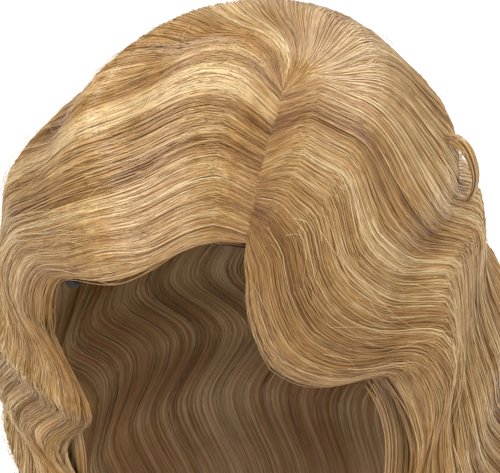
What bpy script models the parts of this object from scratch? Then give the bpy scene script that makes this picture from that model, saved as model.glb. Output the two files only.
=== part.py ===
"""A side-parted finger wave wig: a hollow cap, a parting strip and waved tresses.

Metres, +Z up, the face towards -Y. The origin is the inside of the cap's crown, where a head
touches it. Hair is laid out on a flat chart of the head: a point's distance from the chart's
centre is its distance from the crown, and its direction is the way it faces, so the face is
towards the chart's -Y. Past the widest line of the head the hair falls straight down.
"""
import math

import bpy
import numpy as np

# The cap, measured inside: a girth of 540 mm.
HEAD_HALF_WIDTH = 0.076
HEAD_HALF_LENGTH = 0.095
HEAD_CENTRE_Y = 0.008
CROWN_HEIGHT = 0.062
CAP_WALL = 0.002
CAP_RINGS = 12
CAP_SEGMENTS = 32

# How far the cap draws in below the crown's height, at the nape and at the sides, as shares of
# its length and width for each further crown height down.
NAPE_IN = 0.0370509
SIDE_IN = 0.0186

# The hair's outer form, about its own middle. It follows the head's size.
HAIR_HALF_WIDTH = HEAD_HALF_WIDTH + 0.0085
HAIR_HALF_FRONT = HEAD_HALF_LENGTH - 0.001
HAIR_HALF_BACK = HEAD_HALF_LENGTH + 0.017
HAIR_CENTRE_Y = 0.002
HAIR_TOP = 0.010
HAIR_HEIGHT = CROWN_HEIGHT + 0.004
REACH = 0.130
LENGTH = 2.585 * REACH
SETTLE = 1.42 * REACH
CAP_GAP = 0.0020

# The parting, on the chart, and how far the tresses stand apart.
PART_FRONT = REACH * np.array([45, -92]) / 130
PART_BACK = REACH * np.array([36, -24]) / 130
TRESS_GAP = 0.0013
STRIP_WIDTH = 0.009
STRIP_WALL = 0.0010
STRIP_GAP = 0.0006

# The waves.
SWING = 0.012
RIDGE = 0.0030
LOCK_CROWN = 0.0026
NEAR_CROWN = REACH * 20 / 130
PLAN_RADIUS = REACH * 98 / 130
LEAST_RADIUS = REACH * 15 / 130
STATIONS = 39
ACROSS = 4

# A tress thins towards its root, which lies on the parting, and narrows and thins to its tip.
ROOT_SHARE = 0.35
ROOT_RUN = 0.016
ROOT_LIFT = 0.0022
LIFT_RUN = 0.011
WAVES_FROM = 0.05
NARROWS_AT = 0.86
NARROWS_BY = 0.45
THINS_AT = 0.90
LEAST_WALL = 0.0020

# Beside the face the hair lies in towards the head: how far as a share of its depth, how wide
# a band of places, and from which distance from the crown on each side, in shares of REACH.
HUG = 0.55
HUG_WIDTH = 0.10
HUG_LEFT = (0.85, 1.20)
HUG_RIGHT = (1.35, 1.65)

# Depth of the cap's rim under the crown, by the way it faces from the face round to the nape,
# in parts of which the crown's height has 62.
RIM_PARTS = [36, 38, 52, 96, 100, 72, 80, 112, 132, 136]
RIM_TABLE = {
    "facing_deg": [0, 30, 55, 72, 82, 95, 110, 128, 150, 180],
    "depth": [CROWN_HEIGHT * parts / 62 for parts in RIM_PARTS],
}

# How far the outer and the inner form stand out past the dome, as shares of HAIR_HALF_WIDTH,
# by distance from the crown as a share of REACH.
OUTER_TABLE = {
    "reach": [0.0, 0.69, 0.80, 0.90, 1.0, 1.09, 1.28, 1.49, 1.72, 2.03, 2.26, 2.47, 2.60],
    "left": [0.0, 0.0, 0.04, 0.10, 0.12, 0.17, 0.27, 0.31, 0.33, 0.33, 0.31, 0.24, 0.12],
    "right": [0.0, 0.0, 0.0, 0.01, 0.03, 0.08, 0.15, 0.22, 0.25, 0.26, 0.24, 0.18, 0.08],
    "front": [0.0, 0.0, 0.0, 0.0, 0.0, 0.01, 0.01, -0.01, -0.04, -0.07, -0.09, -0.14, -0.21],
    "back": [0.0, 0.0, 0.0, 0.0, 0.01, 0.03, 0.05, 0.04, 0.03, 0.01, -0.02, -0.08, -0.17],
}
INNER_TABLE = {
    "reach": [0.0, 0.69, 0.80, 0.90, 1.0, 1.09, 1.28, 1.49, 1.72, 2.03, 2.26, 2.47, 2.60],
    "left": [0.0, 0.0, 0.0, 0.0, 0.0, 0.02, 0.08, 0.14, 0.17, 0.18, 0.17, 0.14, 0.08],
    "right": [0.0, 0.0, 0.0, 0.0, 0.0, 0.01, 0.04, 0.09, 0.13, 0.15, 0.14, 0.11, 0.03],
    "front": [0.0, 0.0, 0.0, 0.0, 0.0, -0.02, -0.07, -0.12, -0.15, -0.18, -0.20, -0.23, -0.27],
    "back": [0.0, 0.0, 0.0, 0.0, 0.0, 0.0, 0.0, -0.03, -0.07, -0.12, -0.15, -0.18, -0.22],
}

# Where strands run, by place along the hairline: 0 is the front of the parting on the left,
# PARTED its back end, 0.5 the middle of the back, and 1 the front of the parting on the right.
PARTED = 0.36
FLOW_TABLE = {
    "place": [0.0, 0.18, PARTED, 0.5, 1.0 - PARTED, 0.82, 1.0],
    "facing_deg": [-39.0, -64.0, -77.0, -180.0, -267.0, -285.0, -308.0],
    "root_deg": [194.0, 205.0, 158.0, 90.0, 15.0, -10.0, -88.0],
    "root_pull": [1.1, 1.3, 0.5, 0.9, 1.0, 0.97, 1.52],
    "end_pull": [1.2, 0.8, 0.8, 0.9, 0.9, 0.6, 0.3],
}

# Each turn of the wave: its distance along the strand as a share of REACH, and its sideways
# swing as a share of SWING, one column for each place of FLOW_TABLE.
TURNS = [
    [0.00, 0.00, 0.00, 0.00, 0.00, 0.00, 0.00],
    [0.08, 0.15, 0.19, 0.12, 0.12, 0.08, 0.06],
    [0.52, 0.60, 0.66, 0.52, 0.26, 0.26, 0.12],
    [1.17, 1.29, 1.16, 1.14, 0.79, 0.70, 0.35],
    [1.38, 1.52, 1.50, 1.42, 0.99, 1.10, 1.32],
    [1.66, 1.78, 1.76, 1.69, 1.30, 1.42, 1.62],
    [1.94, 2.02, 2.02, 1.94, 1.58, 1.68, 1.84],
    [2.22, 2.27, 2.27, 2.20, 1.84, 1.92, 2.05],
    [2.50, 2.54, 2.54, 2.46, 2.10, 2.15, 2.25],
    [2.90, 2.90, 2.88, 2.80, 2.40, 2.40, 2.45],
]
SWINGS = [
    [0.00, 0.00, 0.00, 0.00, 0.00, 0.00, 0.00],
    [0.00, -0.66, -0.64, -0.22, 0.62, 0.84, 0.00],
    [1.15, 0.35, 1.82, 0.73, 0.48, 0.72, 0.00],
    [-1.10, -0.40, -0.83, -0.79, -0.85, -1.14, -1.47],
    [1.50, 1.00, 0.92, 0.92, 0.90, 0.73, 0.64],
    [-1.00, -1.00, -1.00, -1.00, -1.00, -0.75, -0.50],
    [1.00, 1.00, 1.00, 1.00, 1.00, 0.80, 0.60],
    [-0.90, -0.90, -0.90, -0.90, -0.90, -0.80, -0.70],
    [0.75, 0.75, 0.75, 0.75, 0.75, 0.70, 0.65],
    [0.00, 0.00, 0.00, 0.00, 0.00, 0.00, 0.00],
]

# The tresses: the two places each lies between, and where it starts as a share of its length.
TRESSES = {
    "name": ["tress_left_1", "tress_left_2", "tress_left_3",
             "tress_back_1", "tress_back_2", "tress_back_3", "tress_back_4",
             "tress_back_5", "tress_back_6", "tress_back_7", "tress_back_8",
             "tress_right_3", "tress_right_2", "tress_right_1"],
    "from": [0.0, 0.10, 0.22, 0.36, 0.395, 0.43, 0.465, 0.50, 0.535, 0.57, 0.605, 0.64, 0.76, 0.88],
    "to": [0.10, 0.22, 0.36, 0.395, 0.43, 0.465, 0.50, 0.535, 0.57, 0.605, 0.64, 0.76, 0.88, 1.0],
    "start": [0.004, 0.004, 0.004, 0.022, 0.022, 0.022, 0.022,
              0.022, 0.022, 0.022, 0.022, 0.004, 0.004, 0.004],
}

# The tresses under the front ones: the way their two sides face, and how far down they run.
UNDER_TRESSES = {
    "name": ["under_tress_left", "under_tress_right"],
    "facing_deg": [(-46.0, -76.0), (76.0, 47.0)],
    "reach": [(1.36, 2.46), (1.36, 2.46)],
    "swing": [0.9, 0.7],
    "turn_every": [0.50, 0.50],
}
UNDER_DEPTH = 0.0055
UNDER_GAP = 0.0009
UNDER_RADIUS = REACH * 100 / 130
UNDER_STATIONS = 22

# The small lock that flips out of the outline on the right.
FLIP_FACING_DEG = 104.0
FLIP_REACH = (0.90, 1.10)
FLIP_OUT = 0.0075
FLIP_CLEAR = 0.0013
FLIP_RADIUS = 0.0024
FLIP_RINGS = 12
FLIP_SIDES = 8


def eased(share):
    return share * share * (3.0 - 2.0 * share)


def rising(value, low, high):
    """0 up to low, 1 from high on, and an eased step between them."""
    return eased(np.clip((value - low) / (high - low), 0.0, 1.0))


def smooth(value, knots, levels):
    """A curve through the knots of a table, without corners."""
    knots = np.asarray(knots, float)
    levels = np.asarray(levels, float)
    slopes = np.gradient(levels, knots)
    cell = np.clip(np.searchsorted(knots, value, side="right") - 1, 0, len(knots) - 2)
    span = knots[cell + 1] - knots[cell]
    t = np.clip((value - knots[cell]) / span, 0.0, 1.0)
    return (
        levels[cell] * (2 * t**3 - 3 * t**2 + 1)
        + slopes[cell] * span * (t**3 - 2 * t**2 + t)
        + levels[cell + 1] * (3 * t**2 - 2 * t**3)
        + slopes[cell + 1] * span * (t**3 - t**2)
    )


def form(chart, half_sizes, centre_y, top, height, table):
    """The point of a hair form, outer or inner, over each chart point."""
    away = np.hypot(chart[:, 0], chart[:, 1]) + 1e-9
    across = chart[:, 0] / away
    ahead = -chart[:, 1] / away
    turn = np.minimum(away / REACH, 1.0) * math.pi / 2
    share = np.minimum(away / REACH, 2.6)
    extra = {
        side: HAIR_HALF_WIDTH * smooth(share, table["reach"], table[side])
        for side in ("left", "right", "front", "back")
    }
    width, front, back = (size * np.sin(turn) for size in half_sizes)
    width = width + np.where(across < 0, extra["left"], extra["right"])
    length = np.where(ahead > 0, front + extra["front"], back + extra["back"])
    drop = np.maximum(away - REACH, 0.0)
    return np.stack(
        [
            width * across,
            centre_y - length * ahead,
            top - height + height * np.cos(turn) - drop,
        ],
        axis=1,
    )


def outer_form(chart):
    sizes = (HAIR_HALF_WIDTH, HAIR_HALF_FRONT, HAIR_HALF_BACK)
    return form(chart, sizes, HAIR_CENTRE_Y, HAIR_TOP, HAIR_HEIGHT, OUTER_TABLE)


def inner_form(chart):
    wall = CAP_WALL + CAP_GAP
    sizes = (HEAD_HALF_WIDTH + wall, HEAD_HALF_LENGTH + wall, HEAD_HALF_LENGTH + wall)
    return form(chart, sizes, HEAD_CENTRE_Y, wall, CROWN_HEIGHT + wall, INNER_TABLE)


def hug(place, share):
    """How far the hair at the face's edges lies in towards the head, as a share of its depth."""
    left = (1.0 - place / HUG_WIDTH) * rising(share, *HUG_LEFT)
    right = (1.0 - (1.0 - place) / HUG_WIDTH) * rising(share, *HUG_RIGHT)
    return HUG * np.maximum(np.maximum(left, right), 0.0)


def at_place(place, column):
    return np.interp(place, FLOW_TABLE["place"], column)


def strand_chart(place, steps, start=0.0, end=1.0):
    """Chart points down one strand, with how far along, how ridged and which way is aside."""
    if place <= PARTED:
        root = PART_FRONT + (PART_BACK - PART_FRONT) * place / PARTED
    elif place >= 1.0 - PARTED:
        root = PART_FRONT + (PART_BACK - PART_FRONT) * (1.0 - place) / PARTED
    else:
        root = PART_BACK
    facing = math.radians(at_place(place, FLOW_TABLE["facing_deg"]))
    leaving = math.radians(at_place(place, FLOW_TABLE["root_deg"]))
    down = np.array([math.sin(facing), -math.cos(facing)])
    leave = np.array([math.cos(leaving), math.sin(leaving)])
    settled = SETTLE * down
    span = np.linalg.norm(settled - root)
    leave = leave * span * at_place(place, FLOW_TABLE["root_pull"])
    arrive = down * span * at_place(place, FLOW_TABLE["end_pull"])
    t = np.linspace(0.0, 1.0, 120)[:, None]
    upper = (
        root * (2 * t**3 - 3 * t**2 + 1)
        + leave * (t**3 - 2 * t**2 + t)
        + settled * (3 * t**2 - 2 * t**3)
        + arrive * (t**3 - t**2)
    )
    lower = settled + down * np.linspace(0.0, LENGTH - SETTLE, 90)[1:, None]
    line = np.vstack([upper, lower])
    run = np.concatenate([[0.0], np.cumsum(np.linalg.norm(np.diff(line, axis=0), axis=1))])
    along = np.linspace(start * run[-1], end * run[-1], steps)
    base = np.stack([np.interp(along, run, line[:, k]) for k in (0, 1)], axis=1)
    ahead = np.gradient(line, axis=0)
    ahead = np.stack([np.interp(along, run, ahead[:, k]) for k in (0, 1)], axis=1)
    ahead /= np.linalg.norm(ahead, axis=1)[:, None]
    aside = np.stack([-ahead[:, 1], ahead[:, 0]], axis=1)
    turns = REACH * np.array([at_place(place, row) for row in TURNS])
    swings = SWING * np.array([at_place(place, row) for row in SWINGS])
    cell = np.clip(np.searchsorted(turns, along, side="right") - 1, 0, len(turns) - 2)
    share = np.clip((along - turns[cell]) / (turns[cell + 1] - turns[cell]), 0.0, 1.0)
    swing = swings[cell] + (swings[cell + 1] - swings[cell]) * eased(share)
    depth = np.abs(swings[cell]) + (np.abs(swings[cell + 1]) - np.abs(swings[cell])) * share
    ridge = np.cos(2 * math.pi * share) * depth / SWING
    away = np.hypot(base[:, 0], base[:, 1])
    girth = np.sin(np.minimum(away / REACH, 1.0) * math.pi / 2)
    stretch = np.maximum(away, NEAR_CROWN) / np.maximum(PLAN_RADIUS * girth, LEAST_RADIUS)
    return base + aside * (swing * stretch)[:, None], along, ridge, aside * stretch[:, None]


def new_collection(name):
    collection = bpy.data.collections.new(name)
    bpy.context.scene.collection.children.link(collection)
    return collection


def new_material(name, colour, roughness):
    material = bpy.data.materials.new(name)
    material.use_nodes = True
    shader = material.node_tree.nodes["Principled BSDF"]
    shader.inputs["Base Color"].default_value = (*colour, 1.0)
    shader.inputs["Roughness"].default_value = roughness
    material.diffuse_color = (*colour, 1.0)
    return material


def add_mesh(collection, name, points, faces, material):
    mesh = bpy.data.meshes.new(name)
    mesh.from_pydata([tuple(map(float, point)) for point in points], [], faces)
    mesh.validate()
    mesh.update()
    body = bpy.data.objects.new(name, mesh)
    collection.objects.link(body)
    mesh.materials.append(material)
    return body


def thicken(body, wall, outward):
    """A wall on the outer side of a sheet."""
    solidify = body.modifiers.new("wall", "SOLIDIFY")
    solidify.thickness = wall
    solidify.offset = outward
    solidify.use_even_offset = True
    return body


def build_cap(collection, material):
    """The cap's inner face, from the crown down to its rim, with a wall added outside."""
    points = [(0.0, HEAD_CENTRE_Y, 0.0)]
    for ring in range(1, CAP_RINGS + 1):
        for segment in range(CAP_SEGMENTS):
            facing = 360.0 * segment / CAP_SEGMENTS
            turned = min(facing, 360.0 - facing)
            rim = float(smooth(turned, RIM_TABLE["facing_deg"], RIM_TABLE["depth"]))
            rim_run = cap_run(rim)
            run = rim_run * ring / CAP_RINGS
            points.append(cap_point(math.radians(facing), run))
    faces = []
    for segment in range(CAP_SEGMENTS):
        after = (segment + 1) % CAP_SEGMENTS
        faces.append((0, 1 + segment, 1 + after))
        for ring in range(CAP_RINGS - 1):
            low = 1 + ring * CAP_SEGMENTS
            high = low + CAP_SEGMENTS
            faces.append((low + segment, high + segment, high + after, low + after))
    cap = add_mesh(collection, "cap", points, faces, material)
    return thicken(cap, CAP_WALL, 1.0)


def cap_run(depth):
    """The turn round the crown, in radians and then in straight drop, that reaches a depth."""
    if depth < CROWN_HEIGHT:
        return math.acos(1.0 - depth / CROWN_HEIGHT)
    return math.pi / 2 + (depth - CROWN_HEIGHT) / CROWN_HEIGHT


def cap_point(facing, run):
    turn = min(run, math.pi / 2)
    drop = max(run - math.pi / 2, 0.0) * CROWN_HEIGHT
    further = drop / CROWN_HEIGHT
    width = HEAD_HALF_WIDTH * math.sin(turn) * (1.0 - SIDE_IN * further)
    length = HEAD_HALF_LENGTH * math.sin(turn) * (1.0 - NAPE_IN * further**1.5)
    return (
        width * math.sin(facing),
        HEAD_CENTRE_Y - length * math.cos(facing),
        CROWN_HEIGHT * (math.cos(turn) - 1.0) - drop,
    )


def build_strip(collection, material):
    """The skin-coloured strip that shows along the parting, over the cap."""
    rows = 10
    columns = 3
    lift = CAP_WALL + STRIP_GAP
    points = []
    for row in range(rows + 1):
        share = 0.06 + 0.98 * row / rows
        middle = PART_FRONT + (PART_BACK - PART_FRONT) * share
        centre = inner_form(middle[None, :])[0]
        for column in range(columns + 1):
            x = centre[0] + STRIP_WIDTH * (column / columns - 0.5)
            y = centre[1]
            inside = 1.0 - (x / (HEAD_HALF_WIDTH + lift)) ** 2
            inside -= ((y - HEAD_CENTRE_Y) / (HEAD_HALF_LENGTH + lift)) ** 2
            z = (CROWN_HEIGHT + lift) * math.sqrt(inside) - CROWN_HEIGHT
            points.append((x, y, z))
    faces = []
    for row in range(rows):
        for column in range(columns):
            first = row * (columns + 1) + column
            faces.append((first, first + 1, first + columns + 2, first + columns + 1))
    strip = add_mesh(collection, "parting_strip", points, faces, material)
    return thicken(strip, STRIP_WALL, 1.0)


def loft(collection, name, rings, material):
    """A closed body through rings of points, each pair of rings joined by triangles."""
    count = len(rings[0])
    points = [point for ring in rings for point in ring]
    faces = []
    for row in range(len(rings) - 1):
        for column in range(count):
            after = (column + 1) % count
            a = row * count + column
            b = row * count + after
            c = a + count
            d = b + count
            if after:
                faces.append((a, b, c))
                faces.append((b, d, c))
            else:
                faces.append((a, b, d))
                faces.append((a, d, c))
    last = (len(rings) - 1) * count
    for column in range(1, count - 1):
        faces.append((0, column + 1, column))
        faces.append((last, last + column, last + column + 1))
    return add_mesh(collection, name, points, faces, material)


def tress_rings(low, high, start):
    """Rings down a tress: its top from one side to the other, then its underside back."""
    places = np.linspace(low, high, ACROSS)
    lines = [strand_chart(place, STATIONS, start, 1.0) for place in places]
    tops = []
    undersides = []
    for column, (chart, along, ridge, aside) in enumerate(lines):
        side = 2.0 * column / (ACROSS - 1) - 1.0
        share = along / along[-1]
        other = lines[1][0] if column == 0 else lines[-2][0]
        if abs(side) > 0.99:
            tip = rising(share, NARROWS_AT, 1.0)
            inward = aside * math.copysign(TRESS_GAP / 2, side)
            chart = chart + inward + (other - chart) * NARROWS_BY * tip[:, None]
        outer = outer_form(chart)
        inner = inner_form(chart)
        away = outer - inner
        depth = np.linalg.norm(away, axis=1)
        away /= depth[:, None]
        grown = np.clip(along / WAVES_FROM, 0.0, 1.0)
        root = rising(along, 0.0, ROOT_RUN)
        crown = LOCK_CROWN * (0.5 - side * side) * (0.25 + 0.75 * rising(share, 0.0, 0.5))
        lift = grown * (RIDGE * ridge + crown)
        tip = rising(share, THINS_AT, 1.0)
        held_in = hug(places[column], np.hypot(chart[:, 0], chart[:, 1]) / REACH)
        top = depth * (ROOT_SHARE + (1.0 - ROOT_SHARE) * root) * (1.0 - held_in) + lift
        under = depth * 0.35 * tip + ROOT_LIFT * (1.0 - rising(along, 0.0, LIFT_RUN))
        top = np.maximum(top - depth * 0.25 * tip, under + LEAST_WALL)
        tops.append(inner + away * top[:, None])
        undersides.append(inner + away * under[:, None])
    return [
        [line[row] for line in tops] + [line[row] for line in reversed(undersides)]
        for row in range(STATIONS)
    ]


def build_tresses(collection, material):
    rows = zip(TRESSES["name"], TRESSES["from"], TRESSES["to"], TRESSES["start"])
    for name, low, high, start in rows:
        loft(collection, name, tress_rings(low, high, start), material)


def build_under_tresses(collection, material):
    """Shorter tresses between the front ones and the cheeks."""
    rows = zip(*(UNDER_TRESSES[column] for column in UNDER_TRESSES))
    for name, facings, reach, swing, turn_every in rows:
        share = np.linspace(0.0, 1.0, UNDER_STATIONS)
        away = REACH * (reach[0] + (reach[1] - reach[0]) * share)
        phase = math.pi * (away / REACH - reach[0]) / turn_every
        tip = rising(share, 0.8, 1.0)
        tops = []
        undersides = []
        for column in range(ACROSS):
            side = 2.0 * column / (ACROSS - 1) - 1.0
            middle = math.radians((facings[0] + facings[1]) / 2)
            half = math.radians((facings[1] - facings[0]) / 2)
            facing = middle + half * side * (1.0 - 0.45 * tip)
            facing = facing + swing * SWING / UNDER_RADIUS * np.sin(phase)
            chart = np.stack([away * np.sin(facing), -away * np.cos(facing)], axis=1)
            outer = outer_form(chart)
            inner = inner_form(chart)
            out = (outer - inner) / np.linalg.norm(outer - inner, axis=1)[:, None]
            bulge = 0.25 + 0.75 * (1.0 - side * side)
            thick = UNDER_DEPTH * (0.25 + 0.75 * rising(share, 0.0, 0.2))
            thick = thick * (1.0 - 0.6 * tip) * bulge
            tops.append(inner - out * UNDER_GAP)
            undersides.append(inner - out * (UNDER_GAP + thick)[:, None])
        rings = [
            [line[row] for line in tops] + [line[row] for line in reversed(undersides)]
            for row in range(UNDER_STATIONS)
        ]
        loft(collection, name, rings, material)


def build_flipped_lock(collection, material):
    """A thin lock that leaves the tress, bends outwards and comes back to it."""
    share = np.linspace(0.0, 1.0, FLIP_RINGS)
    facing = math.radians(FLIP_FACING_DEG)
    away = REACH * (FLIP_REACH[0] + (FLIP_REACH[1] - FLIP_REACH[0]) * share)
    chart = np.stack([away * math.sin(facing), -away * math.cos(facing)], axis=1)
    outer = outer_form(chart)
    out = outer - inner_form(chart)
    out /= np.linalg.norm(out, axis=1)[:, None]
    radius = FLIP_RADIUS * (1.0 - 0.35 * share)
    lift = radius + FLIP_CLEAR + FLIP_OUT * np.sin(math.pi * share) ** 0.8
    middle = outer + out * lift[:, None]
    ahead = np.gradient(middle, axis=0)
    ahead /= np.linalg.norm(ahead, axis=1)[:, None]
    aside = np.cross(ahead, out)
    aside /= np.linalg.norm(aside, axis=1)[:, None]
    across = np.cross(aside, ahead)
    rings = []
    for row in range(FLIP_RINGS):
        ring = []
        for corner in range(FLIP_SIDES):
            turn = 2 * math.pi * corner / FLIP_SIDES
            spoke = across[row] * math.cos(turn) + 1.6 * aside[row] * math.sin(turn)
            ring.append(middle[row] + radius[row] * spoke)
        rings.append(ring)
    loft(collection, "flipped_lock", rings, material)


def build():
    for body in list(bpy.data.objects):
        bpy.data.objects.remove(body)
    wig = new_collection("finger_wave_wig")
    hair = new_material("hair", (0.52, 0.34, 0.17), 0.45)
    net = new_material("cap_net", (0.03, 0.018, 0.012), 0.8)
    skin = new_material("parting_skin", (0.62, 0.47, 0.35), 0.6)
    build_cap(wig, net)
    build_strip(wig, skin)
    build_tresses(wig, hair)
    build_under_tresses(wig, hair)
    build_flipped_lock(wig, hair)


build()
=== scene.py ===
import math

import bpy
import numpy as np
from mathutils import Matrix, Vector


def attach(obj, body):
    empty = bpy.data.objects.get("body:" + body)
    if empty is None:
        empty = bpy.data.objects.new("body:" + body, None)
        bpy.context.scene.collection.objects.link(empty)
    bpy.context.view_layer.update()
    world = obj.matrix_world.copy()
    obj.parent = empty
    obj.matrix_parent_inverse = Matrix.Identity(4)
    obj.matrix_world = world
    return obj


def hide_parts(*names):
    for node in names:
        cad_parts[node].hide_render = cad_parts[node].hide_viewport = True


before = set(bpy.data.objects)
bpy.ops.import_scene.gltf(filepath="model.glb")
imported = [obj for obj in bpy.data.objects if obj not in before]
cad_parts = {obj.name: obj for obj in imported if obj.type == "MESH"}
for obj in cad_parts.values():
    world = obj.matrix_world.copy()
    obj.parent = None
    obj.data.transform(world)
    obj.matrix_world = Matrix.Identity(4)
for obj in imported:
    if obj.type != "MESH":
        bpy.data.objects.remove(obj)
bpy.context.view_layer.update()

# The head inside the cap, and the hair's outer form.
HEAD_HALF_WIDTH = 0.076
HEAD_HALF_LENGTH = 0.095
HEAD_CENTRE_Y = 0.008
CROWN_HEIGHT = 0.062
CAP_WALL = 0.002
CAP_GAP = 0.0020
HAIR_HALF_WIDTH = 0.0845
HAIR_HALF_FRONT = 0.094
HAIR_HALF_BACK = 0.112
HAIR_CENTRE_Y = 0.002
HAIR_TOP = 0.010
HAIR_HEIGHT = 0.066
REACH = 0.130
LENGTH = 2.585 * REACH
SETTLE = 1.42 * REACH

# The parting, on the chart, and the waves.
PART_FRONT = np.array([0.045, -0.092])
PART_BACK = np.array([0.036, -0.024])
PARTED = 0.36
SWING = 0.012
RIDGE = 0.0030
ROOT_SHARE = 0.35
ROOT_RUN = 0.016
WAVES_FROM = 0.05
THINS_AT = 0.90
HUG = 0.55
HUG_WIDTH = 0.10
HUG_LEFT = (0.85, 1.20)
HUG_RIGHT = (1.35, 1.65)

RIM_TABLE = {
    "facing_deg": [0, 30, 55, 72, 82, 95, 110, 128, 150, 180],
    "depth": [0.036, 0.038, 0.052, 0.096, 0.100, 0.072, 0.080, 0.112, 0.132, 0.136],
}

# How far the outer and the inner form stand out past the dome, as shares of HAIR_HALF_WIDTH,
# by distance from the crown as a share of REACH.
FORM_REACH = [0.0, 0.69, 0.80, 0.90, 1.0, 1.09, 1.28, 1.49, 1.72, 2.03, 2.26, 2.47, 2.60]
OUTER_TABLE = {
    "left": [0.0, 0.0, 0.04, 0.10, 0.12, 0.17, 0.27, 0.31, 0.33, 0.33, 0.31, 0.24, 0.12],
    "right": [0.0, 0.0, 0.0, 0.01, 0.03, 0.08, 0.15, 0.22, 0.25, 0.26, 0.24, 0.18, 0.08],
    "front": [0.0, 0.0, 0.0, 0.0, 0.0, 0.01, 0.01, -0.01, -0.04, -0.07, -0.09, -0.14, -0.21],
    "back": [0.0, 0.0, 0.0, 0.0, 0.01, 0.03, 0.05, 0.04, 0.03, 0.01, -0.02, -0.08, -0.17],
}
INNER_TABLE = {
    "left": [0.0, 0.0, 0.0, 0.0, 0.0, 0.02, 0.08, 0.14, 0.17, 0.18, 0.17, 0.14, 0.08],
    "right": [0.0, 0.0, 0.0, 0.0, 0.0, 0.01, 0.04, 0.09, 0.13, 0.15, 0.14, 0.11, 0.03],
    "front": [0.0, 0.0, 0.0, 0.0, 0.0, -0.02, -0.07, -0.12, -0.15, -0.18, -0.20, -0.23, -0.27],
    "back": [0.0, 0.0, 0.0, 0.0, 0.0, 0.0, 0.0, -0.03, -0.07, -0.12, -0.15, -0.18, -0.22],
}

# Where strands run, by place, and each turn of the wave: its distance along the strand as a
# share of REACH, and its sideways swing as a share of SWING.
FLOW_TABLE = {
    "place": [0.0, 0.18, PARTED, 0.5, 1.0 - PARTED, 0.82, 1.0],
    "facing_deg": [-39.0, -64.0, -77.0, -180.0, -267.0, -285.0, -308.0],
    "root_deg": [194.0, 205.0, 158.0, 90.0, 15.0, -10.0, -88.0],
    "root_pull": [1.1, 1.3, 0.5, 0.9, 1.0, 0.97, 1.52],
    "end_pull": [1.2, 0.8, 0.8, 0.9, 0.9, 0.6, 0.3],
}
TURNS = [
    [0.00, 0.00, 0.00, 0.00, 0.00, 0.00, 0.00],
    [0.08, 0.15, 0.19, 0.12, 0.12, 0.08, 0.06],
    [0.52, 0.60, 0.66, 0.52, 0.26, 0.26, 0.12],
    [1.17, 1.29, 1.16, 1.14, 0.68, 0.50, 0.35],
    [1.38, 1.52, 1.50, 1.42, 0.95, 0.86, 1.14],
    [1.66, 1.78, 1.76, 1.69, 1.28, 1.34, 1.50],
    [1.94, 2.02, 2.02, 1.94, 1.58, 1.68, 1.84],
    [2.22, 2.27, 2.27, 2.20, 1.84, 1.92, 2.05],
    [2.50, 2.54, 2.54, 2.46, 2.10, 2.15, 2.25],
    [2.90, 2.90, 2.88, 2.80, 2.40, 2.40, 2.45],
]
SWINGS = [
    [0.00, 0.00, 0.00, 0.00, 0.00, 0.00, 0.00],
    [0.00, -0.66, -0.64, -0.22, 0.62, 0.84, 0.00],
    [1.15, 0.35, 1.82, 0.73, 0.48, 0.72, 0.00],
    [-1.10, -0.40, -0.83, -0.79, -0.85, -1.14, -1.47],
    [1.50, 1.00, 0.92, 0.92, 0.90, 0.73, 0.64],
    [-1.00, -1.00, -1.00, -1.00, -1.00, -0.75, -0.50],
    [1.00, 1.00, 1.00, 1.00, 1.00, 0.80, 0.60],
    [-0.90, -0.90, -0.90, -0.90, -0.90, -0.80, -0.70],
    [0.75, 0.75, 0.75, 0.75, 0.75, 0.70, 0.65],
    [0.00, 0.00, 0.00, 0.00, 0.00, 0.00, 0.00],
]

# The ridge on the right, the wave's fourth turn, is combed to an edge between these places, and
# the hair above it lies smoother.
EDGE_TURN = 4
EDGE_PLACES = (0.60, 0.70)
EDGE_FADES = (0.88, 1.00)
EDGE_SHARPNESS = 0.70
SMOOTHER_BY = 0.65
SMOOTHER_TO = (0.060, 0.105)

# The hair's parts: the places each lies between, the nodes it stands for, how many long and
# short strands it holds, and how many locks its lower half gathers into.
REGIONS = {
    "left_front": (0.0, 0.10, ["tress_left_1"], 210, 130, 3),
    "left": (0.10, 0.36, ["tress_left_2", "tress_left_3"], 340, 330, 6),
    "back_left": (0.36, 0.50, [f"tress_back_{n}" for n in (1, 2, 3, 4)], 500, 160, 15),
    "back_right": (0.50, 0.64, [f"tress_back_{n}" for n in (5, 6, 7, 8)], 470, 220, 13),
    "right": (0.64, 0.88, ["tress_right_3", "tress_right_2"], 330, 330, 6),
    "right_front": (0.88, 1.0, ["tress_right_1"], 170, 120, 3),
}
STRAND_RADIUS = 0.00023
STRAND_SIDES = 3
UPPER_RUN = 0.36
UPPER_STATIONS = 15
LOWER_STATIONS = 34
INSIDE_SHARE = 0.10
EDGE_WIDTH = 0.028
FACE_INSET = 0.0045
SIDE_STREAKS = 480
BACK_STREAKS = 1150
CROSSING = 0.0024
GATHER = 0.58
LOCK_ROUND = 0.0032
TAPER = 0.012

# The hair beside the cheeks, under the front locks.
UNDER_HAIR = {
    "under_tress_left": {"facing_deg": (-46.0, -76.0), "swing": 0.9},
    "under_tress_right": {"facing_deg": (76.0, 47.0), "swing": 0.7},
}
UNDER_REACH = (1.36, 2.46)
UNDER_TURN = 0.50
UNDER_DEPTH = 0.0055
UNDER_GAP = 0.0009

# The lock that flips out of the outline on the right.
FLIP_FACING_DEG = 104.0
FLIP_REACH = (0.90, 1.10)
FLIP_OUT = 0.0075
FLIP_CLEAR = 0.0013
FLIP_RADIUS = 0.0024

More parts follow.
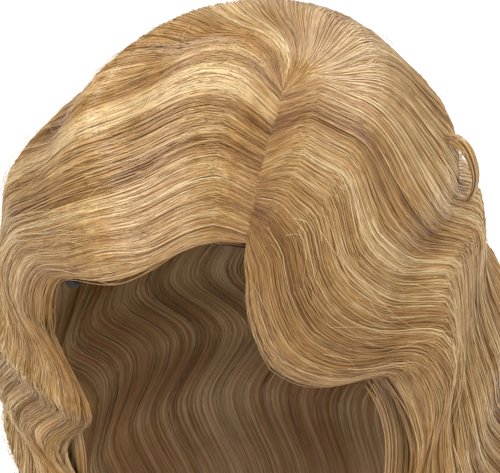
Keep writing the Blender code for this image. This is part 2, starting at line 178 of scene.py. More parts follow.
# Paler and darker sweeps of the combed hair beside the parting, by place.
SWEEP_TABLE = {
    "place": [0.0, 0.03, 0.05, 0.075, 0.10, 0.123, 0.156, 0.18, 0.21, 0.235, 0.252, 0.28, 0.31,
              0.335, 0.36, 0.50, 0.64, 0.68, 0.715, 0.75, 0.785, 0.83, 0.87, 0.91, 0.95, 1.0],
    "tone": [-0.10, -0.06, 0.12, 0.0, 0.08, 0.12, -0.06, -0.26, 0.06, 0.0, -0.24, 0.18, 0.26,
             0.08, -0.06, 0.0, 0.12, 0.04, -0.26, -0.20, 0.16, 0.04, 0.06, -0.18, -0.24, 0.04],
}
# Painted light and shade on the waves: crests are painted paler and troughs darker.
PAINTED_CREST_LIGHT = 0.05
ROOT_TONE = 0.20

# Loose hairs that leave the combed surface.
LOOSE_HAIRS = 420
LOOSE_RADIUS = 0.00011

# Hair colours, linear, from the shade between locks to the sunlit streaks.
HAIR_DARK = (0.180, 0.068, 0.012)
HAIR_MIDDLE = (0.470, 0.262, 0.080)
HAIR_LIGHT = (0.850, 0.680, 0.390)

# The camera, and the floor below the hair.
VIEW_AIM = Vector((0.0116, -0.0191, -0.0673))
VIEW_AZIMUTH_DEG = 22.6
VIEW_ELEVATION_DEG = 26.97
VIEW_ROLL_DEG = -7.57
VIEW_DISTANCE = 0.9
VIEW_LENS = 161.4
FLOOR_DEPTH = 0.30


def build_camera():
    azimuth = math.radians(VIEW_AZIMUTH_DEG)
    elevation = math.radians(VIEW_ELEVATION_DEG)
    roll = math.radians(VIEW_ROLL_DEG)
    back = Vector((math.sin(azimuth) * math.cos(elevation),
                   -math.cos(azimuth) * math.cos(elevation),
                   math.sin(elevation)))
    level = Vector((math.cos(azimuth), math.sin(azimuth), 0.0))
    upright = back.cross(level)
    right = level * math.cos(roll) + upright * math.sin(roll)
    up = upright * math.cos(roll) - level * math.sin(roll)
    data = bpy.data.cameras.new("camera")
    data.lens = VIEW_LENS
    camera = bpy.data.objects.new("camera", data)
    bpy.context.scene.collection.objects.link(camera)
    turn = Matrix((right, up, back)).transposed().to_4x4()
    camera.matrix_world = Matrix.Translation(VIEW_AIM + back * VIEW_DISTANCE) @ turn
    bpy.context.scene.camera = camera


def build_light(name, place, aim, size, power, colour=(1.0, 1.0, 1.0)):
    data = bpy.data.lights.new(name, "AREA")
    data.shape = "RECTANGLE"
    data.size, data.size_y = size
    data.energy = power
    data.color = colour
    light = bpy.data.objects.new(name, data)
    bpy.context.scene.collection.objects.link(light)
    light.location = place
    light.rotation_mode = "QUATERNION"
    light.rotation_quaternion = (Vector(aim) - Vector(place)).to_track_quat("-Z", "Y")


def build_studio():
    """A pale floor, a pale surround and soft lights above and to both sides."""
    world = bpy.data.worlds.new("studio")
    world.use_nodes = True
    world.node_tree.nodes["Background"].inputs["Color"].default_value = (1.0, 1.0, 1.0, 1.0)
    world.node_tree.nodes["Background"].inputs["Strength"].default_value = 0.50
    bpy.context.scene.world = world
    bpy.context.scene.view_settings.view_transform = "Standard"
    mesh = bpy.data.meshes.new("floor")
    half = 4.0
    corners = [(-half, -half), (half, -half), (half, half), (-half, half)]
    mesh.from_pydata([(x, y, -FLOOR_DEPTH) for x, y in corners], [], [(0, 1, 2, 3)])
    floor = bpy.data.objects.new("floor", mesh)
    bpy.context.scene.collection.objects.link(floor)
    pale = bpy.data.materials.new("pale_floor")
    pale.use_nodes = True
    shader = pale.node_tree.nodes["Principled BSDF"]
    shader.inputs["Base Color"].default_value = (0.93, 0.93, 0.93, 1.0)
    shader.inputs["Roughness"].default_value = 0.9
    mesh.materials.append(pale)
    middle = (0.0, 0.0, -0.08)
    build_light("key_light", (-0.5, -0.75, 0.95), middle, (0.5, 0.5), 13.0, (1.0, 0.98, 0.95))
    build_light("fill_light", (0.95, -0.55, 0.45), middle, (0.7, 0.7), 6.0)
    build_light("top_light", (0.1, 0.25, 1.15), middle, (0.6, 0.6), 7.5)
    build_light("back_light", (0.2, 1.1, 0.5), middle, (0.8, 0.6), 7.0)


def eased(share):
    return share * share * (3.0 - 2.0 * share)


def rising(value, low, high):
    """0 up to low, 1 from high on, and an eased step between them."""
    return eased(np.clip((value - low) / (high - low), 0.0, 1.0))


def smooth(value, knots, levels):
    """A curve through the knots of a table, without corners."""
    knots = np.asarray(knots, float)
    levels = np.asarray(levels, float)
    slopes = np.gradient(levels, knots)
    cell = np.clip(np.searchsorted(knots, value, side="right") - 1, 0, len(knots) - 2)
    span = knots[cell + 1] - knots[cell]
    t = np.clip((value - knots[cell]) / span, 0.0, 1.0)
    return (
        levels[cell] * (2 * t**3 - 3 * t**2 + 1)
        + slopes[cell] * span * (t**3 - 2 * t**2 + t)
        + levels[cell + 1] * (3 * t**2 - 2 * t**3)
        + slopes[cell + 1] * span * (t**3 - t**2)
    )


def hum(value, seed):
    """A smooth random wave through whole numbers, between -1 and 1."""
    table = np.random.default_rng(seed).uniform(-1.0, 1.0, 4096)
    cell = np.floor(value).astype(int)
    share = eased(value - cell)
    return table[cell % 4096] * (1.0 - share) + table[(cell + 1) % 4096] * share


def form(chart, half_sizes, centre_y, top, height, table):
    """The point of a hair form, outer or inner, over each chart point."""
    away = np.hypot(chart[..., 0], chart[..., 1]) + 1e-9
    across = chart[..., 0] / away
    ahead = -chart[..., 1] / away
    turn = np.minimum(away / REACH, 1.0) * math.pi / 2
    share = np.minimum(away / REACH, 2.6)
    extra = {side: HAIR_HALF_WIDTH * smooth(share, FORM_REACH, table[side]) for side in table}
    width, front, back = (size * np.sin(turn) for size in half_sizes)
    width = width + np.where(across < 0, extra["left"], extra["right"])
    length = np.where(ahead > 0, front + extra["front"], back + extra["back"])
    drop = np.maximum(away - REACH, 0.0)
    return np.stack(
        [
            width * across,
            centre_y - length * ahead,
            top - height + height * np.cos(turn) - drop,
        ],
        axis=-1,
    )


def outer_form(chart):
    sizes = (HAIR_HALF_WIDTH, HAIR_HALF_FRONT, HAIR_HALF_BACK)
    return form(chart, sizes, HAIR_CENTRE_Y, HAIR_TOP, HAIR_HEIGHT, OUTER_TABLE)


def inner_form(chart):
    wall = CAP_WALL + CAP_GAP
    sizes = (HEAD_HALF_WIDTH + wall, HEAD_HALF_LENGTH + wall, HEAD_HALF_LENGTH + wall)
    return form(chart, sizes, HEAD_CENTRE_Y, wall, CROWN_HEIGHT + wall, INNER_TABLE)


def hug(place, share):
    """How far the hair at the face's edges lies in towards the head, as a share of its depth."""
    left = (1.0 - place / HUG_WIDTH) * rising(share, *HUG_LEFT)
    right = (1.0 - (1.0 - place) / HUG_WIDTH) * rising(share, *HUG_RIGHT)
    return HUG * np.maximum(np.maximum(left, right), 0.0)


def at_place(place, column):
    return np.interp(place, FLOW_TABLE["place"], column)


def strand_chart(place, steps):
    """Chart points down one strand, with how far along, how ridged and which way is aside."""
    if place <= PARTED:
        root = PART_FRONT + (PART_BACK - PART_FRONT) * place / PARTED
    elif place >= 1.0 - PARTED:
        root = PART_FRONT + (PART_BACK - PART_FRONT) * (1.0 - place) / PARTED
    else:
        root = PART_BACK
    facing = math.radians(at_place(place, FLOW_TABLE["facing_deg"]))
    leaving = math.radians(at_place(place, FLOW_TABLE["root_deg"]))
    down = np.array([math.sin(facing), -math.cos(facing)])
    leave = np.array([math.cos(leaving), math.sin(leaving)])
    settled = SETTLE * down
    span = np.linalg.norm(settled - root)
    leave = leave * span * at_place(place, FLOW_TABLE["root_pull"])
    arrive = down * span * at_place(place, FLOW_TABLE["end_pull"])
    t = np.linspace(0.0, 1.0, 120)[:, None]
    upper = (
        root * (2 * t**3 - 3 * t**2 + 1)
        + leave * (t**3 - 2 * t**2 + t)
        + settled * (3 * t**2 - 2 * t**3)
        + arrive * (t**3 - t**2)
    )
    lower = settled + down * np.linspace(0.0, LENGTH - SETTLE, 90)[1:, None]
    line = np.vstack([upper, lower])
    run = np.concatenate([[0.0], np.cumsum(np.linalg.norm(np.diff(line, axis=0), axis=1))])
    along = np.linspace(0.0, run[-1], steps)
    base = np.stack([np.interp(along, run, line[:, k]) for k in (0, 1)], axis=1)
    ahead = np.gradient(line, axis=0)
    ahead = np.stack([np.interp(along, run, ahead[:, k]) for k in (0, 1)], axis=1)
    ahead /= np.linalg.norm(ahead, axis=1)[:, None]
    aside = np.stack([-ahead[:, 1], ahead[:, 0]], axis=1)
    turns = REACH * np.array([at_place(place, row) for row in TURNS])
    swings = SWING * np.array([at_place(place, row) for row in SWINGS])
    cell = np.clip(np.searchsorted(turns, along, side="right") - 1, 0, len(turns) - 2)
    share = np.clip((along - turns[cell]) / (turns[cell + 1] - turns[cell]), 0.0, 1.0)
    bend = eased(share)
    right = rising(place, *EDGE_PLACES)
    sharp = EDGE_SHARPNESS * right * (1.0 - rising(place, *EDGE_FADES))
    bend = np.where(cell == EDGE_TURN - 1, bend + sharp * (share**2 - bend), bend)
    bend = np.where(cell == EDGE_TURN, bend + sharp * (1.0 - (1.0 - share) ** 2 - bend), bend)
    swing = swings[cell] + (swings[cell + 1] - swings[cell]) * bend
    depth = np.abs(swings[cell]) + (np.abs(swings[cell + 1]) - np.abs(swings[cell])) * share
    ridge = np.cos(2 * math.pi * share) * depth / SWING
    ridge = ridge * (1.0 - SMOOTHER_BY * right * (1.0 - rising(along, *SMOOTHER_TO)))
    away = np.hypot(base[:, 0], base[:, 1])
    girth = np.sin(np.minimum(away / REACH, 1.0) * math.pi / 2)
    stretch = np.maximum(away, 0.02) / np.maximum(0.098 * girth, 0.015)
    chart = base + aside * (swing * stretch)[:, None]
    return np.column_stack([chart, along, ridge, aside * stretch[:, None]])


FLOW_PLACES = 481
FLOW_STEPS = 161


def build_flow():
    """Every strand's chart at even places and shares of its length."""
    return np.array([strand_chart(place, FLOW_STEPS) for place in np.linspace(0, 1, FLOW_PLACES)])


flow = build_flow()


def on_flow(place, share):
    """The flow's columns at any place and share of length, by straight blending."""
    row = np.clip(place, 0.0, 1.0) * (FLOW_PLACES - 1)
    column = np.clip(share, 0.0, 1.0) * (FLOW_STEPS - 1)
    i = np.minimum(row.astype(int), FLOW_PLACES - 2)
    j = np.minimum(column.astype(int), FLOW_STEPS - 2)
    u = (row - i)[..., None]
    v = (column - j)[..., None]
    near = flow[i, j] * (1 - v) + flow[i, j + 1] * v
    far = flow[i + 1, j] * (1 - v) + flow[i + 1, j + 1] * v
    return near * (1 - u) + far * u


def hair_skin(place, share):
    """The hair's inner point, outward way, top height and wave ridge at any place and share."""
    drawn = on_flow(place, share)
    chart, along, ridge = drawn[..., :2], drawn[..., 2], drawn[..., 3]
    inner = inner_form(chart)
    out = outer_form(chart) - inner
    depth = np.linalg.norm(out, axis=-1)
    out = out / depth[..., None]
    root = rising(along, 0.0, ROOT_RUN)
    grown = np.clip(along / WAVES_FROM, 0.0, 1.0)
    held_in = hug(place, np.hypot(chart[..., 0], chart[..., 1]) / REACH)
    top = depth * (ROOT_SHARE + (1.0 - ROOT_SHARE) * root) * (1.0 - held_in)
    top = top + grown * RIDGE * ridge - depth * 0.25 * rising(share, THINS_AT, 1.0)
    return {"inner": inner, "out": out, "top": top, "ridge": ridge, "along": along, "chart": chart}


# Hair tubes, by Geometry Nodes.

def new_group(name, kind, inputs, outputs):
    """A node group with named sockets, and its input and output nodes."""
    group = bpy.data.node_groups.new(name, kind)
    for way, sockets in (("INPUT", inputs), ("OUTPUT", outputs)):
        for label, socket_type, *default in sockets:
            socket = group.interface.new_socket(name=label, in_out=way, socket_type=socket_type)
            if default:
                socket.default_value = default[0]
    return group, group.nodes.new("NodeGroupInput"), group.nodes.new("NodeGroupOutput")


def join(tree, source, target):
    tree.links.new(source, target)


def tube_group():
    """Lines of points become closed tubes, each as thick as the points' own radius says."""
    group, given, result = new_group(
        "tubes_on_lines",
        "GeometryNodeTree",
        [
            ("Geometry", "NodeSocketGeometry"),
            ("Sides", "NodeSocketInt", 3),
            ("Thickness", "NodeSocketFloat", 1.0),
            ("Flatness", "NodeSocketFloat", 1.0),
            ("Material", "NodeSocketMaterial"),
        ],
        [("Geometry", "NodeSocketGeometry")],
    )
    lines = group.nodes.new("GeometryNodeMeshToCurve")
    named = group.nodes.new("GeometryNodeInputNamedAttribute")
    named.data_type = "FLOAT"
    named.inputs["Name"].default_value = "radius_here"
    times = group.nodes.new("ShaderNodeMath")
    times.operation = "MULTIPLY"
    circle = group.nodes.new("GeometryNodeCurvePrimitiveCircle")
    circle.inputs["Radius"].default_value = 1.0
    flat = group.nodes.new("ShaderNodeCombineXYZ")
    flat.inputs["X"].default_value = 1.0
    flat.inputs["Z"].default_value = 1.0
    squeeze = group.nodes.new("GeometryNodeTransform")
    tubes = group.nodes.new("GeometryNodeCurveToMesh")
    tubes.inputs["Fill Caps"].default_value = True
    shade = group.nodes.new("GeometryNodeSetShadeSmooth")
    real = group.nodes.new("GeometryNodeRealizeInstances")
    paint = group.nodes.new("GeometryNodeSetMaterial")
    join(group, given.outputs["Geometry"], lines.inputs["Mesh"])
    join(group, named.outputs["Attribute"], times.inputs[0])
    join(group, given.outputs["Thickness"], times.inputs[1])
    join(group, given.outputs["Sides"], circle.inputs["Resolution"])
    join(group, given.outputs["Flatness"], flat.inputs["Y"])
    join(group, circle.outputs["Curve"], squeeze.inputs["Geometry"])
    join(group, flat.outputs["Vector"], squeeze.inputs["Scale"])
    join(group, lines.outputs["Curve"], tubes.inputs["Curve"])
    join(group, times.outputs["Value"], tubes.inputs["Scale"])
    join(group, squeeze.outputs["Geometry"], tubes.inputs["Profile Curve"])
    join(group, tubes.outputs["Mesh"], shade.inputs["Geometry"])
    join(group, shade.outputs["Geometry"], real.inputs["Geometry"])
    join(group, real.outputs["Geometry"], paint.inputs["Geometry"])
    join(group, given.outputs["Material"], paint.inputs["Material"])
    join(group, paint.outputs["Geometry"], result.inputs["Geometry"])
    return group


tubes_on_lines = tube_group()


def bake(body, group, **values):
    """Runs a Geometry Nodes group on an object and keeps its result as a plain mesh."""
    modifier = body.modifiers.new(group.name, "NODES")
    modifier.node_group = group
    for item in group.interface.items_tree:
        if item.in_out == "INPUT" and item.name in values:
            modifier[item.identifier] = values[item.name]
    graph = bpy.context.evaluated_depsgraph_get()
    made = bpy.data.meshes.new_from_object(
        body.evaluated_get(graph), preserve_all_data_layers=True, depsgraph=graph
    )
    body.modifiers.clear()
    drawn = body.data
    body.data = made
    made.name = body.name
    bpy.data.meshes.remove(drawn)
    return body


def add_body(name, mesh):
    body = bpy.data.objects.new(name, mesh)
    bpy.context.scene.collection.objects.link(body)
    return body


def add_points(mesh, name, values):
    attribute = mesh.attributes.new(name, "FLOAT", "POINT")
    attribute.data.foreach_set("value", np.ascontiguousarray(values, np.float32).ravel())


def build_tubes(name, strands, material, sides=STRAND_SIDES, flatness=1.0):
    """Joins strands, each a dict of points, radius, tone and shade, into one piece of tubes."""
    mesh = bpy.data.meshes.new(name)
    points = np.concatenate([s["points"].reshape(-1, 3) for s in strands])
    edges = []
    first = 0
    for s in strands:
        count, steps = s["points"].shape[:2]
        starts = first + np.arange(count)[:, None] * steps + np.arange(steps - 1)
        edges.append(np.stack([starts, starts + 1], axis=-1).reshape(-1, 2))
        first += count * steps
    mesh.from_pydata(points.tolist(), np.concatenate(edges).tolist(), [])
    for attribute, key in (("radius_here", "radius"), ("tone", "tone"), ("shade", "shade")):
        add_points(mesh, attribute, np.concatenate([s[key].ravel() for s in strands]))
    body = add_body(name, mesh)
    bake(body, tubes_on_lines, Sides=sides, Thickness=1.0, Flatness=flatness, Material=material)
    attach(body, "root")
    return body


# Materials.

def shader_node(tree, kind, **settings):
    node = tree.nodes.new(kind)
    for key, value in settings.items():
        setattr(node, key, value)
    return node


def math_node(tree, operation, first, second):
    """A maths node whose two inputs are sockets or plain numbers."""
    node = shader_node(tree, "ShaderNodeMath", operation=operation)
    for socket, value in zip(node.inputs, (first, second)):
        if isinstance(value, (int, float)):
            socket.default_value = value
        else:
            tree.links.new(value, socket)
    return node.outputs["Value"]


def mix_colours(tree, share, first, second, blend="MIX"):
    node = shader_node(tree, "ShaderNodeMix", data_type="RGBA", blend_type=blend)
    for socket, value in zip((node.inputs[0], node.inputs[6], node.inputs[7]), (share, first, second)):
        if isinstance(value, (int, float)):
            socket.default_value = value
        elif isinstance(value, tuple):
            socket.default_value = (*value, 1.0)
        else:
            tree.links.new(value, socket)
    return node.outputs[2]


def hair_colour_group():
    """Hair colour from a strand's tone, with painted shade that darkens it by how deep it lies, and fine streaks
    of its own.
    """
    group, given, result = new_group(
        "hair_colour",
        "ShaderNodeTree",
        [
            ("Tone", "NodeSocketFloat", 0.5),
            ("Shade", "NodeSocketFloat", 0.0),
            ("Dark", "NodeSocketColor", (*HAIR_DARK, 1.0)),
            ("Middle", "NodeSocketColor", (*HAIR_MIDDLE, 1.0)),
            ("Light", "NodeSocketColor", (*HAIR_LIGHT, 1.0)),
        ],
        [("Colour", "NodeSocketColor"), ("Roughness", "NodeSocketFloat")],
    )
    where = group.nodes.new("ShaderNodeTexCoord")
    fleck = shader_node(group, "ShaderNodeTexNoise", noise_dimensions="3D")
    fleck.inputs["Scale"].default_value = 160.0
    fleck.inputs["Detail"].default_value = 2.0
    join(group, where.outputs["Object"], fleck.inputs["Vector"])
    drift = math_node(group, "SUBTRACT", fleck.outputs["Fac"], 0.5)
    drift = math_node(group, "MULTIPLY", drift, 0.28)
    tone = math_node(group, "ADD", given.outputs["Tone"], drift)
    low = math_node(group, "MULTIPLY", tone, 2.0)
    low = shader_clamp(group, low)
    high = math_node(group, "SUBTRACT", tone, 0.5)
    high = shader_clamp(group, math_node(group, "MULTIPLY", high, 2.0))
    colour = mix_colours(group, low, given.outputs["Dark"], given.outputs["Middle"])
    colour = mix_colours(group, high, colour, given.outputs["Light"])
    # Painted shade: the colour is darkened towards Dark by the Shade attribute.
    keep = math_node(group, "SUBTRACT", 1.0, given.outputs["Shade"])
    deep = mix_colours(group, keep, given.outputs["Dark"], colour)
    join(group, deep, result.inputs["Colour"])
    rough = math_node(group, "MULTIPLY", fleck.outputs["Fac"], 0.16)
    join(group, math_node(group, "ADD", rough, 0.24), result.inputs["Roughness"])
    return group


def shader_clamp(tree, value):
    node = tree.nodes.new("ShaderNodeClamp")
    tree.links.new(value, node.inputs["Value"])
    return node.outputs["Result"]


def new_material(name, **constants):
    """A material whose shader takes these constants on its own sockets."""
    material = bpy.data.materials.new(name)
    material.use_nodes = True
    tree = material.node_tree
    shader = tree.nodes["Principled BSDF"]
    for label, value in constants.items():
        shader.inputs[label.replace("_", " ")].default_value = value
    return material, tree, shader


def place_group(tree, group):
    node = tree.nodes.new("ShaderNodeGroup")
    node.node_tree = group
    return node


hair_colour = hair_colour_group()


def read_point(tree, name):
    return shader_node(tree, "ShaderNodeAttribute", attribute_name=name).outputs["Fac"]


def build_strand_material():
    material, tree, shader = new_material("hair_strands", Specular_IOR_Level=0.60, Sheen_Weight=0.04)
    colour = place_group(tree, hair_colour)
    join(tree, read_point(tree, "tone"), colour.inputs["Tone"])
    join(tree, read_point(tree, "shade"), colour.inputs["Shade"])
    join(tree, colour.outputs["Colour"], shader.inputs["Base Color"])
    join(tree, colour.outputs["Roughness"], shader.inputs["Roughness"])
    return material


def build_backing_material():
    """The mass of hair under the loose strands: the same colours in streaks along the flow."""
    material, tree, shader = new_material("hair_mass", Specular_IOR_Level=0.35)
    uv = shader_node(tree, "ShaderNodeUVMap", uv_map="flow")
    spread = tree.nodes.new("ShaderNodeMapping")
    spread.inputs["Scale"].default_value = (1.0, 5.0, 1.0)
    streak = shader_node(tree, "ShaderNodeTexNoise", noise_dimensions="2D")
    streak.inputs["Scale"].default_value = 1.0
    streak.inputs["Detail"].default_value = 5.0
    streak.inputs["Roughness"].default_value = 0.65
    join(tree, uv.outputs["UV"], spread.inputs["Vector"])
    join(tree, spread.outputs["Vector"], streak.inputs["Vector"])
    colour = place_group(tree, hair_colour)
    change = math_node(tree, "MULTIPLY", math_node(tree, "SUBTRACT", streak.outputs["Fac"], 0.5), 2.3)
    join(tree, math_node(tree, "ADD", read_point(tree, "tone"), change), colour.inputs["Tone"])
    join(tree, read_point(tree, "shade"), colour.inputs["Shade"])
    join(tree, colour.outputs["Colour"], shader.inputs["Base Color"])
    join(tree, colour.outputs["Roughness"], shader.inputs["Roughness"])
    bump = tree.nodes.new("ShaderNodeBump")
    bump.inputs["Strength"].default_value = 0.8
    bump.inputs["Distance"].default_value = 0.0008
    join(tree, streak.outputs["Fac"], bump.inputs["Height"])
    join(tree, bump.outputs["Normal"], shader.inputs["Normal"])
    return material


strand_material = build_strand_material()
backing_material = build_backing_material()


# The hair.

def tone_of(place, share, ridge, luck):
    """A strand's paleness: sweeps and streaks of neighbours, painted light on the crests and painted shade in
    the troughs, and its own luck.
    """
    sweep = np.interp(place, SWEEP_TABLE["place"], SWEEP_TABLE["tone"])
    sweep = sweep * (1.0 - 0.7 * rising(share, 0.30, 0.55))
    broad = hum(place * 60.0, 11) * 0.09 + hum(place * 190.0, 12) * 0.12
    drift = hum(place * 47.0 + share * 7.0, 13) * 0.07
    root = ROOT_TONE * (1.0 - rising(share, 0.0, 0.07))
    # The ridge term is painted light on the crests and painted shade in the troughs.
    return 0.50 + sweep + broad + drift + PAINTED_CREST_LIGHT * ridge - root + luck * 0.13


def edge_round(place):
    """1 inside the hair and 0 at the face's edges, where the hair rolls over to the head."""
    inside = np.clip(np.minimum(place, 1.0 - place) / EDGE_WIDTH, 0.0, 1.0)
    return np.sqrt(1.0 - (1.0 - inside) ** 2)


def build_backing(name, low, high, nodes, locks, count):
    """A closed shell of hair from near the cap to just under the loose strands."""
    places = np.linspace(max(low, FACE_INSET), min(high, 1.0 - FACE_INSET), count)
    shares = np.linspace(0.006, 0.992, 96)
    place, share = np.meshgrid(places, shares, indexing="ij")
    off = 2.0 * ((place - low) / (high - low) * locks % 1.0) - 1.0
    share = share * (1.0 - TAPER * off**2)
    skin = hair_skin(place, share)
    sunk = 0.0004 + 0.0012 * rising(share, 0.40, 0.80)
    top = np.maximum((skin["top"] - sunk) * edge_round(place), 0.0006)
    under = top * 0.30
    upper = skin["inner"] + skin["out"] * top[..., None]
    lower = skin["inner"] + skin["out"] * under[..., None]
    steps = len(shares)
    size = count * steps
    index = np.arange(size).reshape(count, steps)
    quads = np.stack([index[:-1, :-1], index[:-1, 1:], index[1:, 1:], index[1:, :-1]], axis=-1)
    quads = quads.reshape(-1, 4)
    rim = np.concatenate([index[:-1, 0], index[-1, :-1], index[1:, -1][::-1], index[0, 1:][::-1]])
    after = np.roll(rim, -1)
    sides = np.stack([rim, after, after + size, rim + size], axis=-1)
    faces = np.concatenate([quads, quads[:, ::-1] + size, sides[:, ::-1]])
    mesh = bpy.data.meshes.new(name)
    points = np.concatenate([upper.reshape(-1, 3), lower.reshape(-1, 3)])
    mesh.from_pydata(points.tolist(), [], faces.tolist())
    tone = tone_of(place, share, skin["ridge"], 0.0) - 0.03
    # Painted shade: darker lower down and in the wave troughs, and darker still on the shell's underside.
    shade = 0.10 + 0.20 * rising(share, 0.40, 0.80) - 0.08 * skin["ridge"]
    add_points(mesh, "tone", np.concatenate([tone.ravel(), tone.ravel()]))
    add_points(mesh, "shade", np.clip(np.concatenate([shade.ravel(), shade.ravel() + 0.25]), 0, 1))
    behind = low >= PARTED and high <= 1.0 - PARTED
    streaks = place * (BACK_STREAKS if behind else SIDE_STREAKS)
    flat = np.concatenate([np.stack([streaks, share], axis=-1).reshape(-1, 2)] * 2)
    layer = mesh.uv_layers.new(name="flow")
    corners = np.empty(len(mesh.loops), np.int32)
    mesh.loops.foreach_get("vertex_index", corners)
    layer.data.foreach_set("uv", flat[corners].astype(np.float32).ravel())
    mesh.shade_smooth()
    mesh.materials.append(backing_material)
    body = add_body(name, mesh)
    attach(body, "root")
    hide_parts(*nodes)
    return body


def grow_strands(low, high, count, locks, stations, ends, depths, seed, inside=False):
    """Strands between two places: their points, radius, tone and shade."""
    luck = np.random.default_rng(seed)
    place = np.sort(luck.uniform(low, high, count))
    lock_width = (high - low) / locks
    lock = np.floor((place - low) / lock_width)
    lock_place = low + (lock + 0.5) * lock_width
    lock_place = np.where(lock_place < lock_width, 0.25 * lock_width, lock_place)
    lock_place = np.where(lock_place > 1.0 - lock_width, 1.0 - 0.25 * lock_width, lock_place)
    begin = luck.uniform(0.0005, 0.006, count)
    parted = (place > PARTED) & (place < 1.0 - PARTED)
    begin = np.where(parted, 0.001 + 0.034 * luck.uniform(0.0, 1.0, count) ** 2, begin)
    end = luck.uniform(*ends, count) - TAPER * ((place - lock_place) / (lock_width / 2)) ** 2
    if inside:
        begin = luck.uniform(0.36, 0.46, count)
    share = begin[:, None] + (end - begin)[:, None] * stations[None, :]
    own = luck.uniform(0.75, 1.1, count)[:, None]
    gather = GATHER * own * rising(share, 0.40, 0.92)
    shift = (lock_place - place)[:, None] * gather
    wander = lock_width * 0.10 * hum(share * 9.0 + luck.uniform(0, 4000, count)[:, None], seed + 1)
    phase = 0.010 * hum(lock + 0.0, seed + 2)[:, None] * rising(share, 0.35, 0.7)
    here = np.clip(place[:, None] + shift + wander, low, high)
    skin = hair_skin(here, share + phase)
    root = skin["inner"][:, 1] - skin["inner"][:, 0]
    root = root / np.linalg.norm(root, axis=-1)[:, None]
    cross = CROSSING * luck.uniform(0.0, 1.0, count)[:, None] * (1.0 - rising(skin["along"], 0.0, 0.012))
    level = luck.uniform(0.0, 1.0, count)[:, None]
    off = (place - lock_place)[:, None] / (lock_width / 2)
    rounded = LOCK_ROUND * (0.5 - off * off) * rising(share, 0.40, 0.80)
    lift = depths[0] + (depths[1] - depths[0]) * level + rounded
    lift = lift + 0.0005 * hum(share * 14.0 + luck.uniform(0, 4000, count)[:, None], seed + 3)
    if inside:
        height = skin["top"] * 0.28 - 0.0012 * level - 0.0002
    else:
        height = skin["top"] + lift * rising(skin["along"], 0.0, 0.02)
        height = height * edge_round(here) + 0.0005 * (1.0 - edge_round(here))
    height = np.maximum(height, 0.0004)
    points = skin["inner"] + skin["out"] * height[..., None] - root[:, None, :] * cross[..., None]
    thick = STRAND_RADIUS * luck.uniform(0.75, 1.2, count)[:, None]
    thick = thick * (0.55 + 0.45 * rising(skin["along"], 0.0, 0.045))
    thick = thick * (1.0 - 0.80 * rising(stations, 0.86, 1.0)[None, :])
    tone = tone_of(place[:, None], share, skin["ridge"], luck.normal(0.0, 1.0, count)[:, None])
    # Painted shade: deeper strands, wave troughs and the edges of each lock are darker.
    shade = 0.10 * (1.0 - level) - 0.06 * skin["ridge"] + 0.34 * off**2 * rising(share, 0.45, 0.8)
    # Painted shade inside the wig: the inner hair is darker still.
    if inside:
        shade = shade + 0.25
    return {"points": points, "radius": thick, "tone": tone, "shade": np.clip(shade, 0.0, 0.9)}


def build_hair():
    upper = np.linspace(0.0, UPPER_RUN, UPPER_STATIONS, endpoint=False)
    whole = np.concatenate([upper, np.linspace(UPPER_RUN, 1.0, LOWER_STATIONS)])
    short = np.linspace(0.0, 1.0, 20)
    lower = np.linspace(0.0, 1.0, 30)
    for number, (name, row) in enumerate(REGIONS.items()):
        low, high, nodes, long_count, short_count, locks = row
        seed = 100 + 10 * number
        count = 28 if "front" in name else 40
        build_backing(f"hair_mass_{name}", low, high, nodes, locks, count)
        strands = [
            grow_strands(low, high, long_count, locks, whole, (0.93, 1.0), (-0.0007, 0.0004), seed),
            grow_strands(low, high, short_count, locks, short, (0.30, 0.55), (-0.0005, 0.0003), seed + 4),
        ]
        build_tubes(f"hair_{name}", strands, strand_material)
        count = int(long_count * INSIDE_SHARE)
        inside = grow_strands(low, high, count, locks, lower, (0.93, 1.0), (0, 0), seed + 7, inside=True)
        build_tubes(f"inner_hair_{name}", [inside], strand_material)


def grow_under(facings, swing, count, seed):
    """Strands of the hair beside a cheek, in gathered locks."""
    luck = np.random.default_rng(seed)
    side = np.sort(luck.uniform(-1.0, 1.0, count))[:, None]
    share = np.linspace(0.0, 1.0, 28)[None, :]
    begin = luck.uniform(0.0, 0.12, count)[:, None]
    end = luck.uniform(0.88, 1.02, count)[:, None]
    share = begin + (end - begin) * share
    away = REACH * (UNDER_REACH[0] + (UNDER_REACH[1] - UNDER_REACH[0]) * share)
    phase = math.pi * (away / REACH - UNDER_REACH[0]) / UNDER_TURN
    lock = (np.floor((side + 1.0) * 2.0) + 0.5) / 2.0 - 1.0
    gathered = side + (lock - side) * 0.6 * rising(share, 0.3, 1.0)
    tip = rising(share, 0.8, 1.0)
    middle = math.radians((facings[0] + facings[1]) / 2)
    half = math.radians((facings[1] - facings[0]) / 2)
    facing = middle + half * gathered * (1.0 - 0.45 * tip)
    facing = facing + swing * SWING / 0.1 * np.sin(phase + 0.5 * lock)
    chart = np.stack([away * np.sin(facing), -away * np.cos(facing)], axis=-1)
    inner = inner_form(chart)
    out = outer_form(chart) - inner
    out = out / np.linalg.norm(out, axis=-1)[..., None]
    level = luck.uniform(0.0, 1.0, count)[:, None]
    bulge = 0.25 + 0.75 * (1.0 - side * side)
    thick = UNDER_DEPTH * bulge * (0.25 + 0.75 * rising(share, 0.0, 0.2)) * (1.0 - 0.6 * tip)
    points = inner - out * (UNDER_GAP + thick * level)[..., None]
    radius = STRAND_RADIUS * luck.uniform(0.8, 1.25, count)[:, None] * (1.0 - 0.8 * tip)
    tone = 0.42 + 0.12 * luck.normal(0.0, 1.0, count)[:, None] + 0.08 * np.sin(phase)
    # Painted shade: the under hair is darker, and the deeper strands darker still.
    shade = 0.18 + 0.15 * (1.0 - level) + 0.0 * share
    return {"points": points, "radius": radius, "tone": tone + 0.0 * share, "shade": shade}


def build_under_hair():
    for number, (node, row) in enumerate(UNDER_HAIR.items()):
        strands = grow_under(row["facing_deg"], row["swing"], 180, 301 + number)
        body = build_tubes(node.replace("tress", "hair"), [strands], strand_material)
        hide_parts(node)


